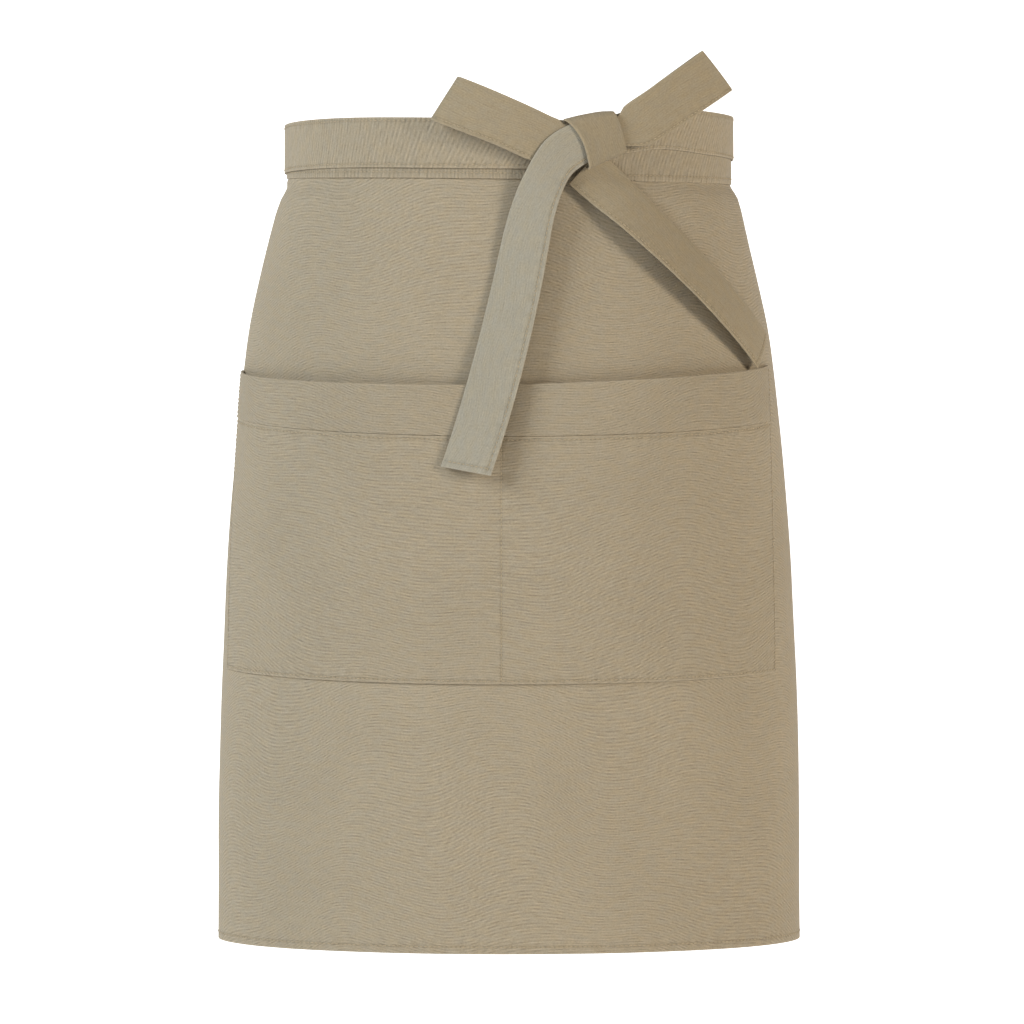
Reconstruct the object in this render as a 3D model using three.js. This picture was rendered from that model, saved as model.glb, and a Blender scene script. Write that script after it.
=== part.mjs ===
// A canvas waist apron as it sits when worn: a panel sewn into a waistband, a wide pocket with two
// compartments, and two ties that go once round the back and end in a bow at the front.
// Millimetres. X runs to the viewer's right, -Y to the front and +Z up. The origin is the middle of
// the waist, level with the middle of the waistband at the front.
import * as THREE from "three";

// The body that the apron fits round, which sets the shape of the hollow
const waistWidth = 299;
const waistFrontDepth = 105;
const waistBackDepth = 95;
const hipWidth = 394.6;
const hipFrontDepth = 125;
const hipBackDepth = 132;

// Cloth: every ply has one wall, and plies that lie on each other keep the clearance
const clothWall = 1.2;
const clearance = 0.3;

// Main panel
const panelWidth = 650;
const panelDrop = 510.4;
const panelShift = -7;
const panelTuck = 25;
const bottomHem = 6.5;
const sideHem = 10;
const hemExtraWall = 0.6;

// Waistband
const waistbandHeight = 36;
const waistbandOverhang = 15;

// Pocket: drops are measured from the lower edge of the waistband
const pocketDrop = 136.7;
const pocketHeight = 196.5;
const pocketReachLeft = 228;
const pocketReachRight = 205;
const pocketDividerAcross = -5;
const pocketBandHeight = 33.9;
const pocketBandWall = 1.6;
const pocketGape = 8.5;

// Ties and bow
const tieWidth = 33;
const tieRootGap = 3;
const tieCrossing = 26;
const leftTiePastKnot = 11;
const rightTiePastKnot = 16;
const leftEarLength = 101;
const rightEarLength = 90.5;
const leftTailLength = 242;
const rightTailLength = 184;
const knotAcross = 55;
const knotUp = 8;

// The level lines of the worn cloth climb towards the sides, and roll with the hip
const sideRise = 18;
const hipRoll = 3;

// Spacing of the flat faces
const turnStep = 6;
const stripStep = 10;

// How the body grows from the waist to the hip, as shares of the whole growth
const growth = [
  { drop: 0, width: 0, depth: 0 },
  { drop: 0.012, width: 0.09, depth: 0.06 },
  { drop: 0.04, width: 0.2, depth: 0.15 },
  { drop: 0.12, width: 0.416, depth: 0.4 },
  { drop: 0.2, width: 0.592, depth: 0.62 },
  { drop: 0.3, width: 0.715, depth: 0.82 },
  { drop: 0.44, width: 0.835, depth: 0.94 },
  { drop: 0.6, width: 0.925, depth: 0.98 },
  { drop: 0.76, width: 0.985, depth: 1 },
  { drop: 1, width: 1, depth: 1 },
];

// How far a level line climbs to the side and rolls, as shares of sideRise and hipRoll
const lineForms = [
  { drop: 0, rise: 0.33, roll: -0.67 },
  { drop: 0.268, rise: 0.98, roll: 1 },
  { drop: 0.334, rise: 1, roll: 0 },
  { drop: 0.653, rise: 0.5, roll: 0 },
  { drop: 1, rise: -0.03, roll: 0 },
];

// Rows of faces down the panel, as shares of its drop
const panelRows = [0.02, 0.05, 0.09, 0.14, 0.2, 0.42, 0.5, 0.58, 0.74, 0.82, 0.9];

// Small puckers under the waistband: place and width as shares of the panel's width, fall as a
// share of its drop, depth in cloth walls
const puckers = [
  { across: 0.2, width: 0.02, fall: 0.07, depth: 1.1 },
  { across: 0.245, width: 0.018, fall: 0.09, depth: 1.3 },
  { across: 0.298, width: 0.022, fall: 0.07, depth: 1.2 },
  { across: -0.23, width: 0.03, fall: 0.06, depth: 0.6 },
  { across: -0.305, width: 0.07, fall: 0.03, depth: 1.7 },
  { across: 0.305, width: 0.07, fall: 0.03, depth: 1.5 },
];

// Route of each tie from its root round the back. Stop counts the places that it passes: 0 its
// root, 1 its end of the waistband, 2 and 3 where it starts and ends its crossing with the other
// tie, 4 the waistband's far end, 5 the side, 6 where it meets the other tie's end and 7 its own
// end at the knot. Level is the height of the tie's middle and width its width, both as shares of
// tieWidth, and layer the ply of cloth that it lies on.
const leftTieRoute = [
  { stop: 0, level: -0.03, layer: 0, width: 1 },
  { stop: 1, level: -0.03, layer: 0, width: 1 },
  { stop: 1.28, level: 0.03, layer: 0, width: 1 },
  { stop: 1.75, level: 0.2, layer: 0, width: 1 },
  { stop: 2, level: 0.26, layer: 0, width: 1 },
  { stop: 3, level: 0.26, layer: 2, width: 1 },
  { stop: 4, level: 0.35, layer: 2, width: 1 },
  { stop: 4.36, level: 0.38, layer: 2, width: 0.97 },
  { stop: 5, level: 0.4, layer: 2, width: 0.9 },
  { stop: 5.49, level: 0.47, layer: 2, width: 0.88 },
  { stop: 5.78, level: 0.54, layer: 2, width: 0.88 },
  { stop: 5.94, level: 0.44, layer: 2, width: 0.86 },
  { stop: 6, level: 0.39, layer: 3, width: 0.79 },
  { stop: 7, level: 0.29, layer: 3, width: 0.66 },
];
const rightTieRoute = [
  { stop: 0, level: -0.03, layer: 0, width: 1 },
  { stop: 1, level: -0.03, layer: 0, width: 1 },
  { stop: 1.28, level: -0.22, layer: 0, width: 1 },
  { stop: 1.75, level: -0.66, layer: 0, width: 1 },
  { stop: 2, level: -0.8, layer: 0, width: 1 },
  { stop: 3, level: -0.8, layer: 2, width: 1 },
  { stop: 4.09, level: -0.36, layer: 2, width: 1 },
  { stop: 4.44, level: -0.06, layer: 2, width: 1 },
  { stop: 5, level: 0.05, layer: 2, width: 1 },
  { stop: 5.4, level: 0.15, layer: 2, width: 1.01 },
  { stop: 5.75, level: 0.15, layer: 2, width: 1.01 },
  { stop: 6, level: 0.15, layer: 2, width: 0.97 },
  { stop: 7, level: 0.15, layer: 2, width: 0.9 },
];

// Free strips of the bow. Along is the share of the strip's length. Heading is in degrees from
// straight down, towards the viewer's right. Lift is the height of the strip's middle, and gap the
// opening between an ear's two plies, in plies of cloth. Lean turns the viewer's right edge out, in
// degrees. Width is a share of tieWidth.
const leftTailRoute = [
  { along: 0, heading: -66, lift: 8.4, lean: 0, width: 0.78 },
  { along: 0.05, heading: -62, lift: 8.4, lean: 0, width: 0.83 },
  { along: 0.09, heading: -48, lift: 8.4, lean: 0, width: 0.84 },
  { along: 0.13, heading: -33, lift: 8.5, lean: 0, width: 0.8 },
  { along: 0.165, heading: -26, lift: 8.5, lean: 2, width: 0.79 },
  { along: 0.2, heading: -22, lift: 8, lean: 8, width: 0.81 },
  { along: 0.26, heading: -16, lift: 6.9, lean: 13, width: 0.86 },
  { along: 0.35, heading: -11, lift: 5.8, lean: 14, width: 0.93 },
  { along: 0.5, heading: -12, lift: 5.4, lean: 14, width: 0.98 },
  { along: 0.7, heading: -14, lift: 6.6, lean: 12, width: 1 },
  { along: 0.85, heading: -16, lift: 7.4, lean: 10, width: 1 },
  { along: 1, heading: -19, lift: 7.8, lean: 10, width: 1 },
];
const rightTailRoute = [
  { along: 0, heading: 49, lift: 4.45, lean: 0, width: 0.92 },
  { along: 0.12, heading: 49, lift: 4.45, lean: 0, width: 0.92 },
  { along: 0.25, heading: 48, lift: 5.3, lean: -10, width: 0.94 },
  { along: 0.45, heading: 49, lift: 6.4, lean: -19, width: 0.97 },
  { along: 0.7, heading: 50, lift: 6.2, lean: -19, width: 1 },
  { along: 0.9, heading: 51, lift: 5.6, lean: -14, width: 1 },
  { along: 1, heading: 52, lift: 5.2, lean: -11, width: 1 },
];
const leftEarRoute = [
  { along: 0, heading: -79, lift: 6.9, gap: 0, width: 0.7 },
  { along: 0.16, heading: -81, lift: 6.9, gap: 0, width: 0.7 },
  { along: 0.26, heading: -100, lift: 6.7, gap: 0.2, width: 0.93 },
  { along: 0.36, heading: -114, lift: 6.3, gap: 0.8, width: 0.97 },
  { along: 0.6, heading: -114, lift: 6.7, gap: 3.2, width: 0.98 },
  { along: 0.85, heading: -113, lift: 7.5, gap: 3.6, width: 1 },
  { along: 1, heading: -113, lift: 8, gap: 2.8, width: 1 },
];
const rightEarRoute = [
  { along: 0, heading: 97, lift: 6.9, gap: 0, width: 0.6 },
  { along: 0.16, heading: 105, lift: 7, gap: 0.1, width: 0.62 },
  { along: 0.27, heading: 121, lift: 7.5, gap: 0.8, width: 0.9 },
  { along: 0.5, heading: 127, lift: 9.5, gap: 1.8, width: 0.96 },
  { along: 0.8, heading: 127, lift: 12.6, gap: 2.4, width: 1 },
  { along: 1, heading: 127, lift: 14.6, gap: 2.2, width: 1.03 },
];

// Roots of the strips, from the knot's middle, and their slanted ends, in tie widths
const leftTailRoot = { across: -0.06, up: 0.03, endSlant: -0.07 };
const rightTailRoot = { across: -0.2, up: -0.56, endSlant: 0.05 };
const leftEarRoot = { across: -0.02, up: 0.01, endSlant: 0.075 };
const rightEarRoot = { across: 0.09, up: 0.09, endSlant: -0.08 };

// The knot's band from its left rim to its right one: where it turns over at the top and the
// bottom, from the knot's middle, and how far its face bellies out to the right, in tie widths
const knotSections = [
  { topAcross: -0.65, topUp: 0.385, bottomAcross: -0.15, bottomUp: -0.62, belly: 0.14 },
  { topAcross: -0.4, topUp: 0.455, bottomAcross: 0.03, bottomUp: -0.53, belly: 0.12 },
  { topAcross: -0.16, topUp: 0.51, bottomAcross: 0.2, bottomUp: -0.45, belly: 0.1 },
  { topAcross: 0.08, topUp: 0.555, bottomAcross: 0.4, bottomUp: -0.36, belly: 0.08 },
  { topAcross: 0.32, topUp: 0.57, bottomAcross: 0.6, bottomUp: -0.27, belly: 0.05 },
];

// Worked out from the sizes above
const ply = clothWall + clearance;
const bandBottom = -waistbandHeight / 2;
const bandTop = waistbandHeight / 2;
const hemLevel = bandBottom - panelDrop;
const pocketTop = bandBottom - pocketDrop;
const pocketSeam = pocketTop - pocketBandHeight;
const pocketBottom = pocketTop - pocketHeight;
const panelLeft = panelShift - panelWidth / 2;
const panelRight = panelShift + panelWidth / 2;

// Colours taken by eye from the photograph's lit cloth
const looks = {
  main_panel: { color: 0xa79d86, roughness: 0.92 },
  waistband: { color: 0xb0a68f, roughness: 0.92 },
  pocket_panel: { color: 0xa59a84, roughness: 0.92 },
  pocket_band: { color: 0xa69e8a, roughness: 0.92 },
  tie_left: { color: 0xa2977f, roughness: 0.9 },
  tie_right: { color: 0xb2a691, roughness: 0.9 },
  ear_left: { color: 0xa6987f, roughness: 0.9 },
  ear_right: { color: 0xa29379, roughness: 0.9 },
  bow_knot: { color: 0x968a74, roughness: 0.9 },
  tail_left: { color: 0xa79e8c, roughness: 0.9 },
  tail_right: { color: 0x96876d, roughness: 0.9 },
};

// The value of a table's column at a place between its rows, on a smooth curve through them
function along(table, key, place, column) {
  const last = table.length - 1;
  const rising = table[last][key] > table[0][key];
  const passed = (row) => (rising ? row[key] <= place : row[key] >= place);
  if (!passed(table[0])) return table[0][column];
  if (passed(table[last])) return table[last][column];
  const i = table.findLastIndex(passed);
  const slope = (k) => {
    const before = table[Math.max(k - 1, 0)];
    const after = table[Math.min(k + 1, last)];
    return (after[column] - before[column]) / (after[key] - before[key]);
  };
  const span = table[i + 1][key] - table[i][key];
  const t = (place - table[i][key]) / span;
  const t2 = t * t;
  const t3 = t2 * t;
  return (
    (2 * t3 - 3 * t2 + 1) * table[i][column] +
    (t3 - 2 * t2 + t) * slope(i) * span +
    (3 * t2 - 2 * t3) * table[i + 1][column] +
    (t3 - t2) * slope(i + 1) * span
  );
}

const dropAt = (level) => (bandBottom - level) / panelDrop;

// The body's section at a height: half its width, and its depths to the front and the back
function bodyAt(z) {
  const wide = along(growth, "drop", dropAt(z), "width");
  const deep = along(growth, "drop", dropAt(z), "depth");
  return {
    half: (waistWidth + (hipWidth - waistWidth) * wide) / 2,
    front: waistFrontDepth + (hipFrontDepth - waistFrontDepth) * deep,
    back: waistBackDepth + (hipBackDepth - waistBackDepth) * deep,
  };
}

// A point that lies lift outside the body, at a turn from the middle of the front
function onBody(turn, z, lift) {
  const body = bodyAt(z);
  const depth = Math.cos(turn) > 0 ? body.front : body.back;
  const outward = new THREE.Vector3(depth * Math.sin(turn), -body.half * Math.cos(turn), 0);
  const skin = new THREE.Vector3(body.half * Math.sin(turn), -depth * Math.cos(turn), z);
  return skin.addScaledVector(outward.normalize(), lift);
}

// Lengths round the body from the middle of the front, at each degree of turn
const girths = new Map();
function girthAt(z) {
  const key = z.toFixed(2);
  if (!girths.has(key)) {
    const lengths = [0];
    for (let degree = 1; degree <= 200; degree += 1) {
      const from = onBody(THREE.MathUtils.degToRad(degree - 1), z, 0);
      const to = onBody(THREE.MathUtils.degToRad(degree), z, 0);
      lengths.push(lengths[degree - 1] + from.distanceTo(to));
    }
    girths.set(key, lengths);
  }
  return girths.get(key);
}

function turnAt(across, z) {
  const lengths = girthAt(z);
  const reach = Math.abs(across);
  const degree = lengths.findLastIndex((length) => length <= reach);
  const step = Math.min(degree, lengths.length - 2);
  const part = (reach - lengths[step]) / (lengths[step + 1] - lengths[step]);
  return Math.sign(across) * THREE.MathUtils.degToRad(step + part);
}

function acrossAt(degrees, z) {
  const lengths = girthAt(z);
  const step = Math.floor(Math.abs(degrees));
  const part = Math.abs(degrees) - step;
  return Math.sign(degrees) * (lengths[step] + (lengths[step + 1] - lengths[step]) * part);
}

// The height of a level line of the cloth where it has gone round by a turn
function heightOf(level, turn) {
  const drop = dropAt(level);
  const rise = sideRise * along(lineForms, "drop", drop, "rise");
  const roll = hipRoll * along(lineForms, "drop", drop, "roll");
  return level + rise * (1 - Math.cos(turn)) + roll * Math.sin(turn);
}

// Puckers push the cloth out in short upright ridges that fade downwards
function puckerAt(across, level) {
  const drop = dropAt(level);
  let lift = 0;
  for (const pucker of puckers) {
    const beside = (across / panelWidth - pucker.across) / pucker.width;
    const down = drop / pucker.fall;
    if (down > 0) lift += pucker.depth * clothWall * Math.exp(-beside * beside - down) * Math.min(down * 4, 1);
  }
  return lift;
}

// A point of the worn cloth, by its place across and its level
function onCloth(across, level, lift) {
  const turn = turnAt(across, level);
  return onBody(turn, heightOf(level, turn), lift + puckerAt(across, level));
}

// How far the pocket's front stands off the panel
function pocketLift(across, level) {
  const edge = across < pocketDividerAcross ? -pocketReachLeft : pocketReachRight;
  const part = (across - pocketDividerAcross) / (edge - pocketDividerAcross);
  const down = (pocketTop - level) / pocketHeight;
  const belly = Math.sin(Math.PI * THREE.MathUtils.clamp(part, 0, 1)) ** 0.8;
  return ply + pocketGape * belly * (1 - THREE.MathUtils.clamp(down, 0, 1)) ** 1.3;
}

// A closed solid between two nets of points, both listed [row][column]. It is seen from outside on
// the near net, where columns run right as rows run up. A ring's rows close on themselves.
function solidBetween(far, near, ring = false) {
  const rows = far.length;
  const columns = far[0].length;
  const points = [...far.flat(), ...near.flat()];
  const at = (net, i, j) => (net * rows + (i % rows)) * columns + j;
  const faces = [];
  const quad = (a, b, c, d) => faces.push(a, b, c, a, c, d);
  const rowSteps = ring ? rows : rows - 1;
  const right = columns - 1;
  const top = rows - 1;
  for (let i = 0; i < rowSteps; i += 1) {
    for (let j = 0; j < right; j += 1) {
      quad(at(1, i, j), at(1, i, j + 1), at(1, i + 1, j + 1), at(1, i + 1, j));
      quad(at(0, i, j), at(0, i + 1, j), at(0, i + 1, j + 1), at(0, i, j + 1));
    }
    quad(at(1, i, 0), at(1, i + 1, 0), at(0, i + 1, 0), at(0, i, 0));
    quad(at(1, i, right), at(0, i, right), at(0, i + 1, right), at(1, i + 1, right));
  }
  for (let j = 0; j < right && !ring; j += 1) {
    quad(at(1, 0, j), at(0, 0, j), at(0, 0, j + 1), at(1, 0, j + 1));
    quad(at(1, top, j), at(1, top, j + 1), at(0, top, j + 1), at(0, top, j));
  }
  const geometry = new THREE.BufferGeometry().setFromPoints(points);
  geometry.setIndex(faces);
  geometry.computeVertexNormals();
  return geometry;
}

// Places between two ends, taking in the common places that lie between them
function placesBetween(common, from, to) {
  const near = 1e-6;
  const inside = common.filter((place) => place > from + near && place < to - near);
  return [from, ...inside, to];
}

// Places across the cloth where every ply has a line of points, so that plies nest
const commonAcross = [];
for (let degrees = -180 + turnStep; degrees < 180; degrees += turnStep) {
  commonAcross.push(acrossAt(degrees, 0));
}
const commonLevels = [
  ...panelRows.map((share) => bandBottom - share * panelDrop),
  pocketTop,
  pocketSeam,
  pocketBottom,
].sort((a, b) => a - b);

// A net of cloth points at each level and each place across
function clothNet(levels, acrosses, lift) {
  return levels.map((level) => acrosses.map((across) => onCloth(across, level, lift(across, level))));
}

function mainPanel() {
  const hemTop = hemLevel + bottomHem;
  const inside = placesBetween(commonLevels, hemTop, bandBottom);
  const levels = [hemLevel, ...inside, bandBottom + panelTuck];
  const acrosses = [
    panelLeft,
    ...placesBetween(commonAcross, panelLeft + sideHem, panelRight - sideHem),
    panelRight,
  ];
  const isHem = (across, level) => {
    const side = across < panelLeft + sideHem || across > panelRight - sideHem;
    return level < bandBottom && (level < hemTop || side);
  };
  const under = clothNet(levels, acrosses, (across, level) => (isHem(across, level) ? -hemExtraWall : 0));
  const over = clothNet(levels, acrosses, () => clothWall);
  return solidBetween(under, over);
}

// The waistband is one strip folded over its top edge, with the panel's top edge inside it
function waistband() {
  const from = panelLeft - waistbandOverhang;
  const to = panelRight + waistbandOverhang;
  const acrosses = placesBetween(commonAcross, from, to);
  const innerProfile = [
    [bandBottom, 0 - clearance],
    [bandTop - clothWall, 0 - clearance],
    [bandTop - clothWall, ply],
    [bandBottom, ply],
  ];
  const outerProfile = [
    [bandBottom, 0 - ply],
    [bandTop, 0 - ply],
    [bandTop, ply + clothWall],
    [bandBottom, ply + clothWall],
  ];
  const net = (profile) =>
    acrosses.map((across) =>
      profile.map(([level, lift]) => onBody(turnAt(across, 0), heightOf(level, turnAt(across, 0)), lift)),
    );
  return solidBetween(net(innerProfile), net(outerProfile));
}

function pocketPiece(bottom, top, wall) {
  const levels = placesBetween(commonLevels, bottom, top);
  const leftSide = placesBetween(commonAcross, -pocketReachLeft, pocketDividerAcross);
  const rightSide = placesBetween(commonAcross, pocketDividerAcross, pocketReachRight);
  const acrosses = [...leftSide, ...rightSide.slice(1)];
  const under = clothNet(levels, acrosses, pocketLift);
  const over = clothNet(levels, acrosses, (across, level) => pocketLift(across, level) + wall);
  return solidBetween(under, over);
}

// The turns in degrees at a tie's stops. Side is 1 for the tie from the right and -1 for the left.
function tieStops(side) {
  const turnOf = (across) => side * THREE.MathUtils.radToDeg(turnAt(across, 0));
  const edge = side > 0 ? panelRight : panelLeft;
  const farEdge = side > 0 ? panelLeft : panelRight;
  const bandEnd = turnOf(edge + side * waistbandOverhang);
  const farBandEnd = 360 + turnOf(farEdge - side * waistbandOverhang);
  const crossing = (bandEnd + farBandEnd) / 2;
  const halfCrossing = THREE.MathUtils.radToDeg(tieCrossing / waistWidth);
  const meeting = knotAcross + (side > 0 ? 0 - leftTiePastKnot : rightTiePastKnot + clearance);
  const end = knotAcross + (side > 0 ? rightTiePastKnot : 0 - leftTiePastKnot);
  return [
    turnOf(edge + side * tieRootGap),
    bandEnd,
    crossing - halfCrossing,
    crossing + halfCrossing,
    farBandEnd,
    270,
    360 + turnOf(meeting),
    360 + turnOf(end),
  ].map((degrees) => side * degrees);
}

// A tie's stretch round the back, as upright cuts through the strip at each row of its route
function tie(stopRoute, side) {
  const stops = tieStops(side);
  const route = stopRoute.map((row) => {
    const passed = Math.min(Math.floor(row.stop), stops.length - 2);
    const turn = stops[passed] + (stops[passed + 1] - stops[passed]) * (row.stop - passed);
    return { ...row, turn };
  });
  const first = route[0].turn;
  const last = route[route.length - 1].turn;
  const turns = new Set(route.map((row) => row.turn));
  for (let degrees = -360; degrees <= 396; degrees += turnStep) {
    if ((degrees - first) * (degrees - last) < 0) turns.add(degrees);
  }
  const ordered = [...turns].sort((a, b) => (a - b) * side);
  const net = (extra) =>
    ordered.map((degrees) => {
      const turn = THREE.MathUtils.degToRad(degrees);
      const middle = tieWidth * along(route, "turn", degrees, "level");
      const half = (tieWidth * along(route, "turn", degrees, "width")) / 2;
      const lift = ply * along(route, "turn", degrees, "layer") + extra;
      return [middle - half, middle, middle + half].map((level) =>
        onBody(turn, heightOf(level, turn), lift),
      );
    });
  const under = net(0);
  const over = net(clothWall);
  return side > 0 ? solidBetween(over, under) : solidBetween(under, over);
}

// The middle line of a strip: its headings are followed from the root, and the last one goes on
// past the end
function stripLine(root, route, length) {
  const rootAcross = knotAcross + root.across * tieWidth;
  const rootUp = knotUp + root.up * tieWidth;
  return (distance) => {
    const steps = 40;
    let across = rootAcross;
    let up = rootUp;
    for (let i = 0; i < steps; i += 1) {
      const share = ((i + 0.5) / steps) * (distance / length);
      const heading = THREE.MathUtils.degToRad(along(route, "along", share, "heading"));
      across += (Math.sin(heading) * distance) / steps;
      up -= (Math.cos(heading) * distance) / steps;
    }
    return { across, up, heading: THREE.MathUtils.degToRad(along(route, "along", distance / length, "heading")) };
  };
}

// A point of a strip, by its distance along, its place over the width and its lift
function onStrip(line, distance, over, lift) {
  const middle = line(distance);
  const across = middle.across + Math.cos(middle.heading) * over;
  const up = middle.up + Math.sin(middle.heading) * over;
  return onBody(turnAt(across, up), up, lift);
}

const overWidth = [-1 / 2, -1 / 6, 1 / 6, 1 / 2];

// A tail is one strip with a free end
function tail(root, route, length) {
  const line = stripLine(root, route, length);
  const count = Math.round(length / stripStep);
  const net = (extra) =>
    Array.from({ length: count + 1 }, (_, i) => {
      const share = i / count;
      const width = tieWidth * along(route, "along", share, "width");
      const lean = THREE.MathUtils.degToRad(along(route, "along", share, "lean"));
      const middle = ply * along(route, "along", share, "lift");
      return overWidth.map((part) => {
        const over = part * width;
        const slant = share * root.endSlant * 2 * part * tieWidth;
        const lift = middle + over * Math.sin(lean) + extra;
        return onStrip(line, share * length + slant, over * Math.cos(lean), lift);
      });
    });
  return solidBetween(net(clothWall / 2), net(0 - clothWall / 2));
}

// An ear is a strip that goes out, folds round at its tip and comes back in front of itself
function ear(root, route, length) {
  const line = stripLine(root, route, length);
  const count = Math.round(length / stripStep);
  const gapAt = (share) => ply * (along(route, "along", share, "gap") + 1);
  const middleAt = (share) => ply * along(route, "along", share, "lift");
  const stations = [];
  const tipRadius = gapAt(1) / 2;
  const straight = 1 - tipRadius / length;
  for (let i = 0; i <= count; i += 1) {
    const share = (straight * i) / count;
    stations.push({ share, lift: middleAt(share) - gapAt(share) / 2, out: 0, face: -1 });
  }
  for (let degrees = -60; degrees <= 60; degrees += 30) {
    const angle = THREE.MathUtils.degToRad(degrees);
    const share = straight + (tipRadius / length) * Math.cos(angle);
    const lift = middleAt(1) + tipRadius * Math.sin(angle);
    stations.push({ share, lift, out: Math.cos(angle), face: Math.sin(angle) });
  }
  for (let i = count; i >= 0; i -= 1) {
    const share = (straight * i) / count;
    stations.push({ share, lift: middleAt(share) + gapAt(share) / 2, out: 0, face: 1 });
  }
  const net = (extra) =>
    stations.map((station) => {
      const width = tieWidth * along(route, "along", station.share, "width");
      return overWidth.map((part) => {
        const slant = station.share * root.endSlant * 2 * part * tieWidth;
        const distance = station.share * length + station.out * extra + slant;
        return onStrip(line, distance, part * width, station.lift + station.face * extra);
      });
    });
  return solidBetween(net(0 - clothWall / 2), net(clothWall / 2));
}

// The knot is a short band round the roots of the ears and the left tail
function knot() {
  const rear = 5 * ply;
  const front = 9 * ply + clothWall;
  const outerRadius = (front - rear) / 2;
  const middle = (front + rear) / 2;
  const net = (inset) => {
    const radius = outerRadius - inset;
    const section = [];
    for (let i = 0; i <= 5; i += 1) section.push({ part: i / 5, end: 0, lift: middle + radius });
    for (const angle of [45, 90, 135]) section.push({ part: 1, end: angle, lift: middle });
    for (let i = 5; i >= 0; i -= 1) section.push({ part: i / 5, end: 0, lift: middle - radius });
    for (const angle of [225, 270, 315]) section.push({ part: 0, end: angle, lift: middle });
    return section.map(({ part, end, lift }) =>
      knotSections.map((row) => {
        const top = new THREE.Vector2(row.topAcross, row.topUp).multiplyScalar(tieWidth);
        const bottom = new THREE.Vector2(row.bottomAcross, row.bottomUp).multiplyScalar(tieWidth);
        const run = bottom.clone().sub(top);
        const height = run.length();
        run.normalize();
        const angle = THREE.MathUtils.degToRad(end);
        const down = outerRadius + part * (height - 2 * outerRadius) + Math.sin(angle) * radius;
        const turned = end ? Math.cos(angle) * radius : 0;
        const place = top.addScaledVector(run, down);
        const share = THREE.MathUtils.clamp(down / height, 0, 1);
        const belly = row.belly * tieWidth * Math.sin(Math.PI * share ** 0.75);
        const across = knotAcross + place.x + belly;
        const up = knotUp + place.y;
        return onBody(turnAt(across, up), up, lift + turned);
      }),
    );
  };
  return solidBetween(net(0), net(clothWall), true);
}

const pieces = {
  main_panel: mainPanel(),
  waistband: waistband(),
  pocket_panel: pocketPiece(pocketBottom, pocketSeam - clearance, clothWall),
  pocket_band: pocketPiece(pocketSeam, pocketTop, pocketBandWall),
  tie_left: tie(leftTieRoute, -1),
  tie_right: tie(rightTieRoute, 1),
  ear_left: ear(leftEarRoot, leftEarRoute, leftEarLength),
  ear_right: ear(rightEarRoot, rightEarRoute, rightEarLength),
  bow_knot: knot(),
  tail_left: tail(leftTailRoot, leftTailRoute, leftTailLength),
  tail_right: tail(rightTailRoot, rightTailRoute, rightTailLength),
};

const apron = new THREE.Group();
apron.name = "waist_apron";
for (const [name, geometry] of Object.entries(pieces)) {
  const material = new THREE.MeshStandardMaterial({ ...looks[name], metalness: 0 });
  const mesh = new THREE.Mesh(geometry, material);
  mesh.name = name;
  apron.add(mesh);
}

export default apron;
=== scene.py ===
"""A khaki waist apron tied in a bow at the front, on the form that a wearer gives it."""
import math
from functools import lru_cache

import bpy
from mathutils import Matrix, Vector, noise


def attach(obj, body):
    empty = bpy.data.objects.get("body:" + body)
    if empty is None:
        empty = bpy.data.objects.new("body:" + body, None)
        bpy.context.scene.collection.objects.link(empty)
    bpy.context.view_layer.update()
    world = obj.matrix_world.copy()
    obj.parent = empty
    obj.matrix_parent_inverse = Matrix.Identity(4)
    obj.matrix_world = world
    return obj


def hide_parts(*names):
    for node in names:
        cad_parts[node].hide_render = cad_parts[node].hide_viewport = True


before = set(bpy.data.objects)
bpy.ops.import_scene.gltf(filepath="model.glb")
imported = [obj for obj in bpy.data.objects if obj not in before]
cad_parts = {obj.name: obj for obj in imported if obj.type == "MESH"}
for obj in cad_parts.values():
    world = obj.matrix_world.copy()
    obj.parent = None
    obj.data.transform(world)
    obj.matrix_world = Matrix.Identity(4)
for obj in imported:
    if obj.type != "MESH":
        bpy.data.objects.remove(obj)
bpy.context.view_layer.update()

# Sizes in millimetres, as the solids have them
MM = 0.001
WAIST_WIDTH = 299
WAIST_FRONT_DEPTH = 105
WAIST_BACK_DEPTH = 95
HIP_WIDTH = 394.6
HIP_FRONT_DEPTH = 125
HIP_BACK_DEPTH = 132
WALL = 1.2
PLY = 1.5
PANEL_WIDTH = 650
PANEL_DROP = 510.4
PANEL_SHIFT = -7
PANEL_TUCK = 25
WAISTBAND_HEIGHT = 36
WAISTBAND_OVERHANG = 15
POCKET_DROP = 136.7
POCKET_HEIGHT = 196.5
POCKET_LEFT = -228
POCKET_RIGHT = 205
POCKET_DIVIDER = -5
POCKET_BAND = 33.9
POCKET_GAPE = 8.5
POCKET_BAND_WALL = 1.6
POCKET_TAPER_LEFT = 0.015
POCKET_TAPER_RIGHT = 0.027
TIE_WIDTH = 33
TIE_ROOT_GAP = 3
TIE_CROSSING = 26
LEFT_TIE_PAST_KNOT = 11
RIGHT_TIE_PAST_KNOT = 16
LEFT_EAR_LENGTH = 101
RIGHT_EAR_LENGTH = 90.5
LEFT_TAIL_LENGTH = 242
RIGHT_TAIL_LENGTH = 184
KNOT_ACROSS = 55
KNOT_UP = 8
SIDE_RISE = 18
HIP_ROLL = 3

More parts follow.
